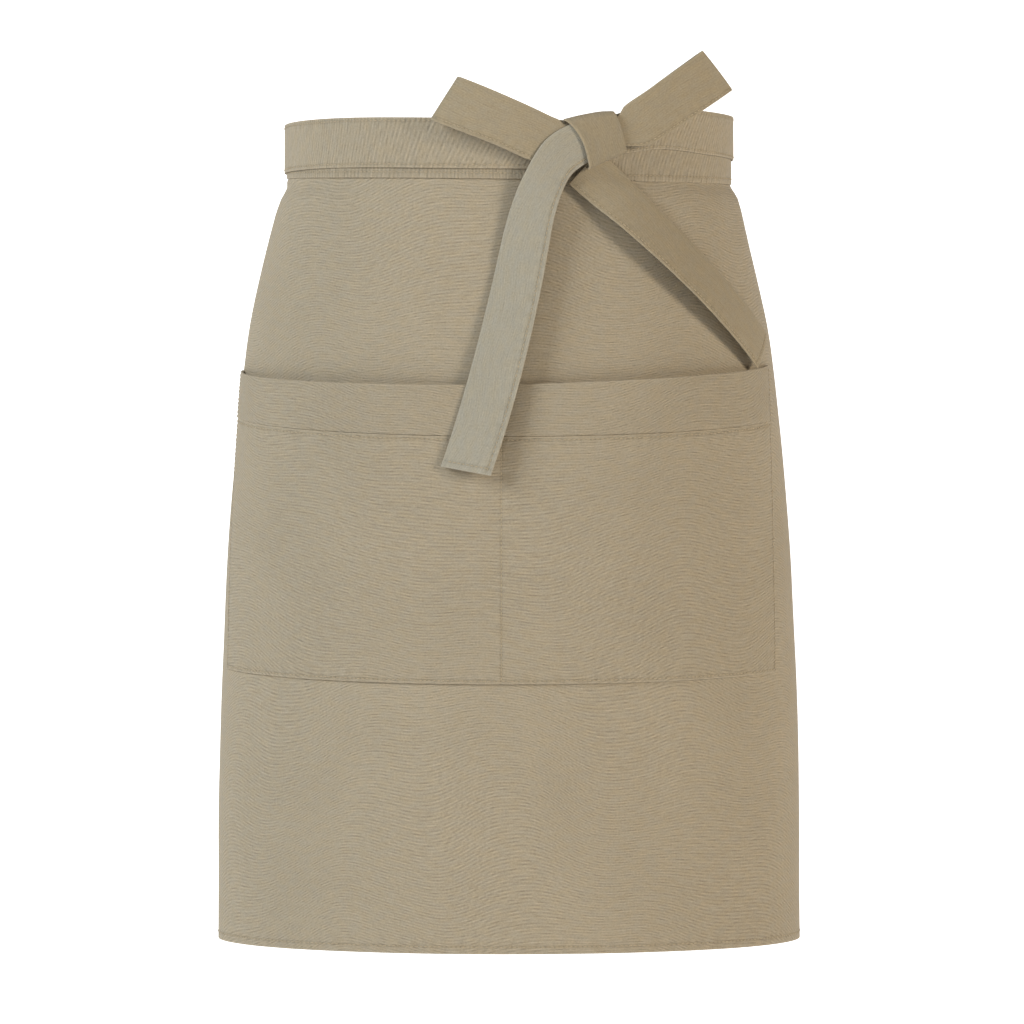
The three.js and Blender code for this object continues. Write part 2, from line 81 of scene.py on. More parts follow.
BAND_BOTTOM = -WAISTBAND_HEIGHT / 2
BAND_TOP = WAISTBAND_HEIGHT / 2
HEM = BAND_BOTTOM - PANEL_DROP
POCKET_TOP = BAND_BOTTOM - POCKET_DROP
POCKET_SEAM = POCKET_TOP - POCKET_BAND
POCKET_BOTTOM = POCKET_TOP - POCKET_HEIGHT
PANEL_LEFT = PANEL_SHIFT - PANEL_WIDTH / 2
PANEL_RIGHT = PANEL_SHIFT + PANEL_WIDTH / 2

# Sewing: one ply of twill, the folds of its hems, and the stitches
TWILL = 0.62
TURN_GAP = 0.7
HEM_TURN = 9
STITCH_PITCH = 3.1
HEM_STITCH_UP = 4.5
SIDE_STITCH_IN = 6
BAND_STITCH_UP = 3.6
STRIP_WALL = WALL * 0.92
STRIP_EDGE = 0.42
KNOT_ROUND = 78


def table(columns, *rows):
    return [dict(zip(columns.split(), row)) for row in rows]


# How the body grows from the waist to the hip, as shares of the whole growth
GROWTH = table(
    "drop width depth",
    (0, 0, 0),
    (0.012, 0.09, 0.06),
    (0.04, 0.2, 0.15),
    (0.12, 0.416, 0.4),
    (0.2, 0.592, 0.62),
    (0.3, 0.715, 0.82),
    (0.44, 0.835, 0.94),
    (0.6, 0.925, 0.98),
    (0.76, 0.985, 1),
    (1, 1, 1),
)

# How far a level line climbs to the side and rolls with the hip, as shares of both sizes
LINE_FORMS = table(
    "drop rise roll",
    (0, 0.33, -0.67),
    (0.268, 0.98, 1),
    (0.334, 1, 0),
    (0.653, 0.5, 0),
    (1, -0.03, 0),
)

# Small puckers under the waistband: shares of the panel's size, depth in walls
PUCKERS = table(
    "across width fall depth",
    (0.2, 0.02, 0.07, 1.1),
    (0.245, 0.018, 0.09, 1.3),
    (0.298, 0.022, 0.07, 1.2),
    (-0.23, 0.03, 0.06, 0.6),
    (-0.305, 0.07, 0.03, 1.7),
    (0.305, 0.07, 0.03, 1.5),
)

# Routes of the ties round the back, by the stops that they pass, in tie widths and plies
LEFT_TIE = table(
    "stop level layer width",
    (0, -0.03, 0, 1),
    (1, -0.03, 0, 1),
    (1.28, 0.03, 0, 1),
    (1.75, 0.2, 0, 1),
    (2, 0.26, 0, 1),
    (3, 0.26, 2, 1),
    (4, 0.35, 2, 1),
    (4.36, 0.38, 2, 0.97),
    (5, 0.4, 2, 0.9),
    (5.49, 0.47, 2, 0.88),
    (5.78, 0.54, 2, 0.88),
    (5.94, 0.44, 2, 0.86),
    (6, 0.39, 3, 0.79),
    (7, 0.29, 3, 0.66),
)
RIGHT_TIE = table(
    "stop level layer width",
    (0, -0.03, 0, 1),
    (1, -0.03, 0, 1),
    (1.28, -0.22, 0, 1),
    (1.75, -0.66, 0, 1),
    (2, -0.8, 0, 1),
    (3, -0.8, 2, 1),
    (4.09, -0.36, 2, 1),
    (4.44, -0.06, 2, 1),
    (5, 0.05, 2, 1),
    (5.4, 0.15, 2, 1.01),
    (5.75, 0.15, 2, 1.01),
    (6, 0.15, 2, 0.97),
    (7, 0.15, 2, 0.9),
)

# Routes of the bow's strips: heading in degrees from straight down to the right, lift in plies
LEFT_TAIL = table(
    "along heading lift lean width",
    (0, -66, 8.4, 0, 0.78),
    (0.05, -62, 8.4, 0, 0.83),
    (0.09, -48, 8.4, 0, 0.84),
    (0.13, -33, 8.5, 0, 0.8),
    (0.165, -26, 8.5, 2, 0.79),
    (0.2, -22, 8, 8, 0.81),
    (0.26, -16, 6.9, 13, 0.86),
    (0.35, -11, 5.8, 14, 0.93),
    (0.5, -12, 5.4, 14, 0.98),
    (0.7, -14, 6.6, 12, 1),
    (0.85, -16, 7.4, 10, 1),
    (1, -19, 7.8, 10, 1),
)
RIGHT_TAIL = table(
    "along heading lift lean width",
    (0, 49, 4.45, 0, 0.92),
    (0.1, 49, 4.5, -2, 0.92),
    (0.22, 48, 6, -15, 0.94),
    (0.45, 49, 7, -20, 0.97),
    (0.7, 50, 6.2, -18, 1),
    (0.9, 51, 5.2, -12, 1),
    (1, 52, 4.7, -8, 1),
)
LEFT_EAR = table(
    "along heading lift gap width",
    (0, -79, 6.9, 0, 0.7),
    (0.16, -81, 6.9, 0, 0.7),
    (0.26, -100, 6.7, 0.2, 0.93),
    (0.36, -114, 6.3, 0.8, 0.97),
    (0.6, -114, 6.7, 3.2, 0.98),
    (0.85, -113, 7.5, 3.6, 1),
    (1, -113, 8, 2.8, 1),
)
RIGHT_EAR = table(
    "along heading lift gap width",
    (0, 97, 6.9, 0, 0.6),
    (0.16, 105, 7, 0.1, 0.62),
    (0.27, 121, 7.5, 0.8, 0.9),
    (0.5, 127, 9.5, 1.8, 0.96),
    (0.8, 127, 12.6, 2.4, 1),
    (1, 127, 14.6, 2.2, 1.03),
)

# Roots of the strips from the knot's middle and the slant of their ends, in tie widths
ROOTS = {
    "left_tail": dict(across=-0.06, up=0.03, slant=-0.07),
    "right_tail": dict(across=-0.2, up=-0.56, slant=0.05),
    "left_ear": dict(across=-0.02, up=0.01, slant=0.075),
    "right_ear": dict(across=0.09, up=0.09, slant=-0.08),
}

# The knot's band from its left rim to its right one, in tie widths from the knot's middle
KNOT = table(
    "rim top_across top_up bottom_across bottom_up belly",
    (0, -0.65, 0.385, -0.15, -0.62, 0.14),
    (0.25, -0.4, 0.455, 0.03, -0.53, 0.12),
    (0.5, -0.16, 0.51, 0.2, -0.45, 0.1),
    (0.75, 0.08, 0.555, 0.4, -0.36, 0.08),
    (1, 0.32, 0.57, 0.6, -0.27, 0.05),
)


def curve(rows, key, place, column):
    """The value of a table's column between its rows, on a smooth curve through them."""
    last = len(rows) - 1
    rising = rows[last][key] > rows[0][key]
    passed = [row[key] <= place if rising else row[key] >= place for row in rows]
    if not passed[0]:
        return rows[0][column]
    if passed[last]:
        return rows[last][column]
    i = max(k for k in range(last) if passed[k])

    def slope(k):
        before = rows[max(k - 1, 0)]
        after = rows[min(k + 1, last)]
        return (after[column] - before[column]) / (after[key] - before[key])

    span = rows[i + 1][key] - rows[i][key]
    t = (place - rows[i][key]) / span
    return (
        (2 * t**3 - 3 * t**2 + 1) * rows[i][column]
        + (t**3 - 2 * t**2 + t) * slope(i) * span
        + (3 * t**2 - 2 * t**3) * rows[i + 1][column]
        + (t**3 - t**2) * slope(i + 1) * span
    )


def clamp(value, low=0.0, high=1.0):
    return max(low, min(high, value))


def drop_at(level):
    return (BAND_BOTTOM - level) / PANEL_DROP


@lru_cache(maxsize=None)
def body_at(z):
    """Half the body's width and its depths to the front and the back at a height."""
    wide = curve(GROWTH, "drop", drop_at(z), "width")
    deep = curve(GROWTH, "drop", drop_at(z), "depth")
    half = (WAIST_WIDTH + (HIP_WIDTH - WAIST_WIDTH) * wide) / 2
    front = WAIST_FRONT_DEPTH + (HIP_FRONT_DEPTH - WAIST_FRONT_DEPTH) * deep
    back = WAIST_BACK_DEPTH + (HIP_BACK_DEPTH - WAIST_BACK_DEPTH) * deep
    return half, front, back


def on_body(turn, z, lift):
    """A point that lies lift outside the body, at a turn from the middle of the front."""
    half, front, back = body_at(z)
    depth = front if math.cos(turn) > 0 else back
    outward = Vector((depth * math.sin(turn), -half * math.cos(turn), 0)).normalized()
    return Vector((half * math.sin(turn), -depth * math.cos(turn), z)) + outward * lift


@lru_cache(maxsize=None)
def girths(z):
    """Lengths round the body from the middle of the front, at each degree of turn."""
    lengths = [0.0]
    for degree in range(1, 201):
        step = on_body(math.radians(degree), z, 0) - on_body(math.radians(degree - 1), z, 0)
        lengths.append(lengths[-1] + step.length)
    return lengths


def turn_on(lengths, across):
    reach = abs(across)
    low = 0
    high = len(lengths) - 2
    while low < high:
        middle = (low + high + 1) // 2
        if lengths[middle] <= reach:
            low = middle
        else:
            high = middle - 1
    part = (reach - lengths[low]) / (lengths[low + 1] - lengths[low])
    return math.copysign(math.radians(low + part), across)


def turn_at(across, z):
    """The turn where the cloth has gone a length round the body at a height."""
    if z >= BAND_BOTTOM:
        return turn_on(girths(0), across)
    step = 2
    low = math.floor(z / step)
    part = z / step - low
    near = turn_on(girths(low * step), across)
    far = turn_on(girths((low + 1) * step), across)
    return near + (far - near) * part


def height_of(level, turn):
    """The height of a level line of the cloth where it has gone round by a turn."""
    rise = SIDE_RISE * curve(LINE_FORMS, "drop", drop_at(level), "rise")
    roll = HIP_ROLL * curve(LINE_FORMS, "drop", drop_at(level), "roll")
    return level + rise * (1 - math.cos(turn)) + roll * math.sin(turn)


def pucker_at(across, level):
    drop = drop_at(level)
    lift = 0
    for pucker in PUCKERS:
        beside = (across / PANEL_WIDTH - pucker["across"]) / pucker["width"]
        down = drop / pucker["fall"]
        if down > 0:
            lift += pucker["depth"] * WALL * math.exp(-beside**2 - down) * min(down * 4, 1)
    return lift


def ripple_at(across, level):
    """The slow unevenness of worn cloth, the same in all plies, so that they nest."""
    fade = clamp(drop_at(level) * 10)
    slow = noise.noise(Vector((across / 75, level / 150, 3.7)))
    quick = noise.noise(Vector((across / 28, level / 60, 8.1)))
    return fade * (1.1 * slow + 0.35 * quick)


def on_cloth(across, level, lift):
    turn = turn_at(across, level)
    uneven = pucker_at(across, level) + ripple_at(across, level)
    return on_body(turn, height_of(level, turn), lift + uneven)


def on_band(across, level, lift):
    turn = turn_at(across, 0)
    uneven = 0.25 * noise.noise(Vector((across / 30, level / 30, 1.3)))
    return on_body(turn, height_of(level, turn), lift + uneven)


def pocket_across(across, level):
    """The pocket's front draws in towards its bottom corners."""
    down = clamp((POCKET_TOP - level) / POCKET_HEIGHT)
    taper = POCKET_TAPER_RIGHT if across > 0 else POCKET_TAPER_LEFT
    return across * (1 - taper * down)


def pocket_lift(across, level):
    """How far the pocket's front stands off the panel."""
    edge = POCKET_LEFT if across < POCKET_DIVIDER else POCKET_RIGHT
    part = clamp((across - POCKET_DIVIDER) / (edge - POCKET_DIVIDER))
    down = clamp((POCKET_TOP - level) / POCKET_HEIGHT)
    return PLY + POCKET_GAPE * math.sin(math.pi * part) ** 0.8 * (1 - down) ** 1.3


def cuts(start, end, step, turn_start=0, turn_end=0, gap=TURN_GAP):
    """Cuts across a sheet: the place, the lift and the length on the flat cloth of each.

    An end with a turn is folded in under itself by that much."""
    radius = gap / 2

    def folded(turn):
        fold = math.pi * radius
        rows = [(turn - turn * k / 4, -gap, -(turn - turn * k / 4) - fold) for k in range(4)]
        for degrees in (0, 30, 60, 90, 120, 150):
            angle = math.radians(degrees)
            out = radius * math.sin(angle)
            rows.append((-out, -radius - radius * math.cos(angle), -fold * (1 - degrees / 180)))
        return rows

    first = [(start + p + radius, lift, start + flat) for p, lift, flat in folded(turn_start)]
    last = [(end - p - radius, lift, end - flat) for p, lift, flat in folded(turn_end)]
    if not turn_start:
        first = []
    if not turn_end:
        last = []
    inner_start = start + (radius if turn_start else 0)
    inner_end = end - (radius if turn_end else 0)
    count = max(1, math.ceil((inner_end - inner_start) / step))
    run = [inner_start + (inner_end - inner_start) * k / count for k in range(count + 1)]
    return first + [(place, 0, place) for place in run] + last[::-1]


def sew(name, columns, rows, place):
    """A sheet: a flat grid with a line for every cut, moved to where the worn cloth lies."""
    across = len(columns) - 1
    up = len(rows) - 1
    bpy.ops.object.select_all(action="DESELECT")
    bpy.ops.mesh.primitive_grid_add(x_subdivisions=across, y_subdivisions=up, size=1)
    piece = bpy.context.object
    piece.name = name
    piece.data.name = name
    flats = []
    for vertex in piece.data.vertices:
        column = columns[round((vertex.co.x + 0.5) * across)]
        row = rows[round((vertex.co.y + 0.5) * up)]
        flats.append((column[2] * MM, row[2] * MM))
        vertex.co = place(column, row) * MM
    flat_map = piece.data.uv_layers.active
    flat_map.name = "flat"
    for loop in piece.data.loops:
        flat_map.data[loop.index].uv = flats[loop.vertex_index]
    return piece


def thicken(piece, wall, edge=0.25):
    """Give a sheet its thickness and round its raw edges."""
    solidify = piece.modifiers.new("wall", "SOLIDIFY")
    solidify.thickness = wall * MM
    solidify.offset = 0
    bevel = piece.modifiers.new("edge", "BEVEL")
    bevel.width = edge * MM
    bevel.segments = 2
    bevel.limit_method = "ANGLE"
    bevel.angle_limit = math.radians(50)
    bpy.context.view_layer.objects.active = piece
    piece.select_set(True)
    for modifier in ("wall", "edge"):
        bpy.ops.object.modifier_apply(modifier=modifier)
    bpy.ops.object.shade_smooth()


def declare(piece, node, material, flat):
    piece.data.materials.clear()
    piece.data.materials.append(material)
    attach(piece, "root")
    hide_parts(node)
    width, length = flat
    width * MM
    length * MM


class Value:
    """A value of a material's node tree, so that a pattern is written as a sum."""

    def __init__(self, tree, socket):
        self.tree = tree
        self.socket = socket

    def node(self, kind, settings, inputs, output=0):
        """Add any node: its settings first, then the values or links of its sockets."""
        new = self.tree.nodes.new(kind)
        for key, value in settings.items():
            setattr(new, key, value)
        for key, value in inputs.items():
            if isinstance(value, Value):
                self.tree.links.new(value.socket, new.inputs[key])
            else:
                new.inputs[key].default_value = value
        return Value(self.tree, new.outputs[output])

    def math(self, operation, *others):
        inputs = dict(enumerate((self, *others)))
        return self.node("ShaderNodeMath", {"operation": operation}, inputs)

    def __add__(self, other):
        return self.math("ADD", other)

    def __radd__(self, other):
        return self.math("ADD", other)

    def __sub__(self, other):
        return self.math("SUBTRACT", other)

    def __rsub__(self, other):
        inputs = {0: other, 1: self}
        return self.node("ShaderNodeMath", {"operation": "SUBTRACT"}, inputs)

    def __mul__(self, other):
        return self.math("MULTIPLY", other)

    def __rmul__(self, other):
        return self.math("MULTIPLY", other)

    def __truediv__(self, other):
        return self.math("DIVIDE", other)

    def __pow__(self, other):
        return self.math("POWER", other)


def linear(red, green, blue):
    """A colour from 0 to 255, as the shader takes it."""

    def channel(value):
        share = value / 255
        return share / 12.92 if share <= 0.04045 else ((share + 0.055) / 1.055) ** 2.4

    return channel(red), channel(green), channel(blue), 1


def shade(colour, share):
    return tuple(min(1, channel * share) for channel in colour[:3]) + (1,)


def twill(name, colour, pitch, upright=False, seams=(), fold_highlights=(), ribs=1.0, bend=0.0):
    """Khaki cotton twill whose ribs run across, or upright, with a rib for every pitch in mm.

    Seams and fold highlights are lines on the flat cloth: the axis that they cross and their
    place. A seam's groove is darkened with painted shade and its gathers get painted light and
    shade; a fold highlight is a painted highlight along a fold."""
    material = bpy.data.materials.new(name)
    material.use_nodes = True
    tree = material.node_tree
    shader = tree.nodes["Principled BSDF"]
    start = Value(tree, None)
    flat = start.node("ShaderNodeUVMap", {"uv_map": "flat"}, {})
    in_mm = {0: flat, "Scale": 1000.0}
    place = start.node("ShaderNodeVectorMath", {"operation": "SCALE"}, in_mm)
    across = start.node("ShaderNodeSeparateXYZ", {}, {0: place})
    up = Value(tree, across.socket.node.outputs[1])
    axes = {"across": across, "up": up}
    weft, warp = (up, across) if upright else (across, up)

    def blotch(scale_weft, scale_warp, detail=2.0):
        """Uneven patches around nought, each scale in patches for every mm."""
        sides = {0: weft * scale_weft, 1: warp * scale_warp}
        vector = start.node("ShaderNodeCombineXYZ", {}, sides)
        inputs = {"Vector": vector, "Scale": 1.0, "Detail": detail}
        return start.node("ShaderNodeTexNoise", {"noise_dimensions": "2D"}, inputs) - 0.5

    wander = blotch(0.013, 0.006, 0.0) * 120 + weft * weft * bend
    rows = (warp * (2 * math.pi / pitch) + wander).math("SINE")
    broken = blotch(0.14, 0.5, 1.0)
    grain = blotch(0.8, 1.0)
    slubs = blotch(0.07, 0.4)
    slow = blotch(0.014, 0.016, 1.0)
    weave = rows * (broken * 4.5 + 0.75) * ribs
    tone = weave * 0.42 + grain * 1.4 + slubs * 0.4 + slow * 0.3
    height = weave * 0.045 + grain * 0.12 + slubs * 0.03

    def near(axis, line, reach):
        """One on a line, falling off to nothing over its reach."""
        beside = (axes[axis] - line) / reach
        return (beside * beside * -1).math("EXPONENT")

    # Each seam: a groove in the bump whose tone is darkened, painted shade, and gathers whose
    # tone rises and falls with their bumps, painted light and shade.
    for axis, line in seams:
        groove_and_shade = near(axis, line, 1.0)
        gathers_and_shading = near(axis, line, 6)
        along = axes["up" if axis == "across" else "across"]
        wave = (along * (2 * math.pi / 9) + slow * 40).math("SINE")
        height = height + groove_and_shade * -0.2 + gathers_and_shading * wave * 0.07
        tone = tone - groove_and_shade * 0.3 + gathers_and_shading * wave * 0.12
    # Painted highlight: the tone is lightened along each fold line.
    for axis, line in fold_highlights:
        tone = tone + near(axis, line, 0.8) * 0.4

    bump = start.node("ShaderNodeBump", {}, {"Strength": 1.0, "Distance": MM, "Height": height})
    factor = (tone * 0.5 + 0.5).math("MAXIMUM", 0.0).math("MINIMUM", 1.0)
    tones = {0: factor, 6: shade(colour, 0.72), 7: shade(colour, 1.28)}
    mixed = start.node("ShaderNodeMix", {"data_type": "RGBA"}, tones, output=2)
    cast = (blotch(0.11, 0.2) * 2.4 + 0.5).math("MAXIMUM", 0.0).math("MINIMUM", 1.0)
    tints = {0: cast, 6: (1.02, 1.0, 0.965, 1), 7: (0.985, 1.0, 1.03, 1)}
    tint = start.node("ShaderNodeMix", {"data_type": "RGBA"}, tints, output=2)
    tinted = start.node(
        "ShaderNodeMix",
        {"data_type": "RGBA", "blend_type": "MULTIPLY"},
        {0: 1.0, 6: mixed, 7: tint},
        output=2,
    )
    tree.links.new(tinted.socket, shader.inputs["Base Color"])
    tree.links.new(bump.socket, shader.inputs["Normal"])
    shader.inputs["Roughness"].default_value = 0.88
    shader.inputs["Sheen Weight"].default_value = 0.1
    shader.inputs["Specular IOR Level"].default_value = 0.25
    return material


def thread(name, colour):
    material = bpy.data.materials.new(name)
    material.use_nodes = True
    tree = material.node_tree
    shader = tree.nodes["Principled BSDF"]
    start = Value(tree, None)
    place = start.node("ShaderNodeTexCoord", {}, {}, output=3)
    inputs = {"Vector": place, "Scale": 900.0, "Detail": 1.0}
    spun = start.node("ShaderNodeTexNoise", {}, inputs)
    tones = {0: spun, 6: shade(colour, 0.8), 7: shade(colour, 1.2)}
    mix = start.node("ShaderNodeMix", {"data_type": "RGBA"}, tones, output=2)
    tree.links.new(mix.socket, shader.inputs["Base Color"])
    shader.inputs["Roughness"].default_value = 0.7
    return material


def one_stitch():
    """A single stitch lying along X, modelled once for all the rows."""
    bpy.ops.object.select_all(action="DESELECT")
    bpy.ops.mesh.primitive_uv_sphere_add(segments=6, ring_count=4, radius=1)
    piece = bpy.context.object
    size = Vector((1.15, 0.34, 0.24))
    points = [v.co for v in piece.data.vertices]
    points = [Vector((p.z * size.x, p.x * size.y, p.y * size.z)) for p in points]
    faces = [tuple(face.vertices) for face in piece.data.polygons]
    bpy.data.objects.remove(piece, do_unlink=True)
    return points, faces


def stitch(name, runs, material):
    """Rows of stitches. A run gives a surface, its first and last place on it and the count."""
    points = []
    faces = []
    for place, start, end, length in runs:
        count = max(1, round(length / STITCH_PITCH))
        for k in range(count):
            share = (k + 0.5) / count
            here = [a + (b - a) * share for a, b in zip(start, end)]
            ahead = [a + (b - a) * (share + 0.2 / count) for a, b in zip(start, end)]
            middle = place(*here, 0.12)
            run = (place(*ahead, 0.12) - middle).normalized()
            out = (place(*here, 1.12) - middle).normalized()
            side = out.cross(run)
            first = len(points)
            for v in STITCH[0]:
                points.append((middle + run * v.x + side * v.y + out * v.z) * MM)
            faces.extend(tuple(first + i for i in face) for face in STITCH[1])
    mesh = bpy.data.meshes.new(name)
    mesh.from_pydata(points, [], faces)
    piece = bpy.data.objects.new(name, mesh)
    bpy.context.collection.objects.link(piece)
    mesh.materials.append(material)
    for face in mesh.polygons:
        face.use_smooth = True
    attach(piece, "root")
    return piece


def main_panel():
    columns = cuts(PANEL_LEFT, PANEL_RIGHT, 4, HEM_TURN, HEM_TURN)
    rows = cuts(HEM, BAND_BOTTOM + PANEL_TUCK, 4, HEM_TURN - 3)
    outer = WALL - TWILL / 2

    def place(column, row):
        return on_cloth(column[0], row[0], outer + column[1] + row[1])

    piece = sew("panel_cloth", columns, rows, place)
    thicken(piece, TWILL)
    return piece


def waistband():
    """One strip: its lower edge is turned in, its rear half folded down over the top."""
    left = PANEL_LEFT - WAISTBAND_OVERHANG
    right = PANEL_RIGHT + WAISTBAND_OVERHANG
    columns = cuts(left, right, 4)
    outer = PLY + WALL - TWILL / 2
    gap = outer + PLY - TWILL / 2 - 0.4
    rows = cuts(BAND_BOTTOM, BAND_TOP, 3, 7, 0)
    fold = cuts(BAND_BOTTOM, BAND_TOP, 3, 0, WAISTBAND_HEIGHT - gap, gap)
    rows = rows[:-1] + fold[-11:]

    def place(column, row):
        return on_band(column[0], row[0], outer + row[1])

    piece = sew("waistband_cloth", columns, rows, place)
    thicken(piece, TWILL)
    return piece


def pocket_front(name, bottom, top, turn_bottom, turn_top, gap, wall):
    columns = cuts(POCKET_LEFT, POCKET_RIGHT, 4, 7, 7, gap)
    rows = cuts(bottom, top, 4, turn_bottom, turn_top, gap)
    outer = wall - TWILL / 2

    def place(column, row):
        lift = pocket_lift(column[0], row[0]) + outer + column[1] + row[1]
        return on_cloth(pocket_across(column[0], row[0]), row[0], lift)

    piece = sew(name, columns, rows, place)
    thicken(piece, TWILL)
    return piece


def tie_stops(side):
    """The turns in degrees at a tie's stops: side is 1 from the right and -1 from the left."""

    def turn_of(across):
        return side * math.degrees(turn_at(across, 0))

    edge, far_edge = (PANEL_RIGHT, PANEL_LEFT) if side > 0 else (PANEL_LEFT, PANEL_RIGHT)
    band_end = turn_of(edge + side * WAISTBAND_OVERHANG)
    far_end = 360 + turn_of(far_edge - side * WAISTBAND_OVERHANG)
    crossing = (band_end + far_end) / 2
    half = math.radians(TIE_CROSSING / WAIST_WIDTH)
    meeting = KNOT_ACROSS + (-LEFT_TIE_PAST_KNOT if side > 0 else RIGHT_TIE_PAST_KNOT + 0.3)
    end = KNOT_ACROSS + (RIGHT_TIE_PAST_KNOT if side > 0 else -LEFT_TIE_PAST_KNOT)
    stops = [
        turn_of(edge + side * TIE_ROOT_GAP),
        band_end,
        crossing - half,
        crossing + half,
        far_end,
        270,
        360 + turn_of(meeting),
        360 + turn_of(end),
    ]
    return [side * degrees for degrees in stops]


def tie_route(rows, side):
    stops = tie_stops(side)
    route = []
    for row in rows:
        passed = min(math.floor(row["stop"]), len(stops) - 2)
        turn = stops[passed] + (stops[passed + 1] - stops[passed]) * (row["stop"] - passed)
        route.append({**row, "turn": turn})
    return route


def on_tie(route):
    def place(degrees, part, extra):
        turn = math.radians(degrees)
        width = curve(route, "turn", degrees, "width")
        level = TIE_WIDTH * (curve(route, "turn", degrees, "level") + width * part)
        lift = PLY * curve(route, "turn", degrees, "layer") + WALL / 2 + extra
        uneven = 0.12 * noise.noise(Vector((degrees / 9, part * 2, 5.5)))
        return on_body(turn, height_of(level, turn), lift + uneven)

    return place


def tie(name, rows, side):
    route = tie_route(rows, side)
    place = on_tie(route)
    low, high = sorted((route[0]["turn"], route[-1]["turn"]))
    count = round((high - low) / 1.2)
    girth = girths(0)[180] / 180
    columns = [low + (high - low) * k / count for k in range(count + 1)]
    columns = [(degrees, 0, degrees * girth) for degrees in columns]
    parts = [k / 10 - 0.5 for k in range(11)]
    strips = [(part, 0, part * TIE_WIDTH) for part in parts]
    piece = sew(name, columns, strips, lambda column, row: place(column[0], row[0], 0))
    thicken(piece, STRIP_WALL, STRIP_EDGE)
    return piece, place, (low, high), (high - low) * girth


def strip_line(root, route, length):
    """The middle line of a strip, which follows its headings from its root."""
    root_across = KNOT_ACROSS + root["across"] * TIE_WIDTH
    root_up = KNOT_UP + root["up"] * TIE_WIDTH

    @lru_cache(maxsize=None)
    def at(distance):
        steps = 40
        across = root_across
        up = root_up
        for i in range(steps):
            share = (i + 0.5) / steps * distance / length
            heading = math.radians(curve(route, "along", share, "heading"))
            across += math.sin(heading) * distance / steps
            up -= math.cos(heading) * distance / steps
        return across, up, math.radians(curve(route, "along", distance / length, "heading"))

    return at


def on_strip(line, distance, over, lift):
    across, up, heading = line(distance)
    across += math.cos(heading) * over
    up += math.sin(heading) * over
    return on_body(turn_at(across, up), up, lift)


def tail(name, root, route, length, seed):
    line = strip_line(root, route, length)

    def place(share, part, extra):
        width = TIE_WIDTH * curve(route, "along", share, "width")
        lean = math.radians(curve(route, "along", share, "lean"))
        over = part * width
        distance = share * length + share * root["slant"] * 2 * part * TIE_WIDTH
        uneven = 0.3 * noise.noise(Vector((distance / 26, part * 1.3, seed)))
        crown = 0.25 * (0.25 - part * part)
        lift = PLY * curve(route, "along", share, "lift") + over * math.sin(lean)
        lift += extra + uneven + crown
        return on_strip(line, distance, over * math.cos(lean), lift)

    count = round(length / 3)
    columns = [(k / count, 0, length * k / count) for k in range(count + 1)]
    strips = [(k / 10 - 0.5, 0, (k / 10 - 0.5) * TIE_WIDTH) for k in range(11)]
    piece = sew(name, columns, strips, lambda column, row: place(column[0], row[0], 0))
    thicken(piece, STRIP_WALL, STRIP_EDGE)
    return piece, place


def ear(name, root, route, length, seed):
    """A loop: out on the rear ply, round the fold at its tip and back on the front ply."""
    line = strip_line(root, route, length)

    def gap_at(share):
        return PLY * (curve(route, "along", share, "gap") + 1)

    def middle_at(share):
        return PLY * curve(route, "along", share, "lift")

    radius = gap_at(1) / 2
    straight = 1 - radius / length
    count = round(length / 3)
    stations = []
    for k in range(count + 1):
        share = straight * k / count
        stations.append((share, middle_at(share) - gap_at(share) / 2, 0, -1, share * length))
    for degrees in range(-75, 76, 15):
        angle = math.radians(degrees)
        share = straight + radius / length * math.cos(angle)
        flat = straight * length + radius * (angle + math.pi / 2)
        lift = middle_at(1) + radius * math.sin(angle)
        stations.append((share, lift, math.cos(angle), math.sin(angle), flat))
    whole = 2 * straight * length + math.pi * radius
    for k in range(count, -1, -1):
        share = straight * k / count
        lift = middle_at(share) + gap_at(share) / 2
        stations.append((share, lift, 0, 1, whole - share * length))

    def place(station, part, extra):
        share, lift, out, face, flat = station
        width = TIE_WIDTH * curve(route, "along", share, "width") * (0.97 + 0.03 * face)
        slant = share * root["slant"] * 2 * part * TIE_WIDTH
        uneven = 0.25 * noise.noise(Vector((flat / 24, part * 1.5, seed)))
        distance = share * length + out * extra + slant
        return on_strip(line, distance, part * width, lift + face * extra + uneven)

    columns = [(station, 0, station[4]) for station in stations]
    strips = [(k / 10 - 0.5, 0, (k / 10 - 0.5) * TIE_WIDTH) for k in range(11)]
    piece = sew(name, columns, strips, lambda column, row: place(column[0], row[0], 0))
    thicken(piece, STRIP_WALL, STRIP_EDGE)

    def front(share, part, extra):
        lift = middle_at(share) + gap_at(share) / 2
        return place((share, lift, 0, 1, whole - share * length), part, extra)

    return piece, front, straight, whole


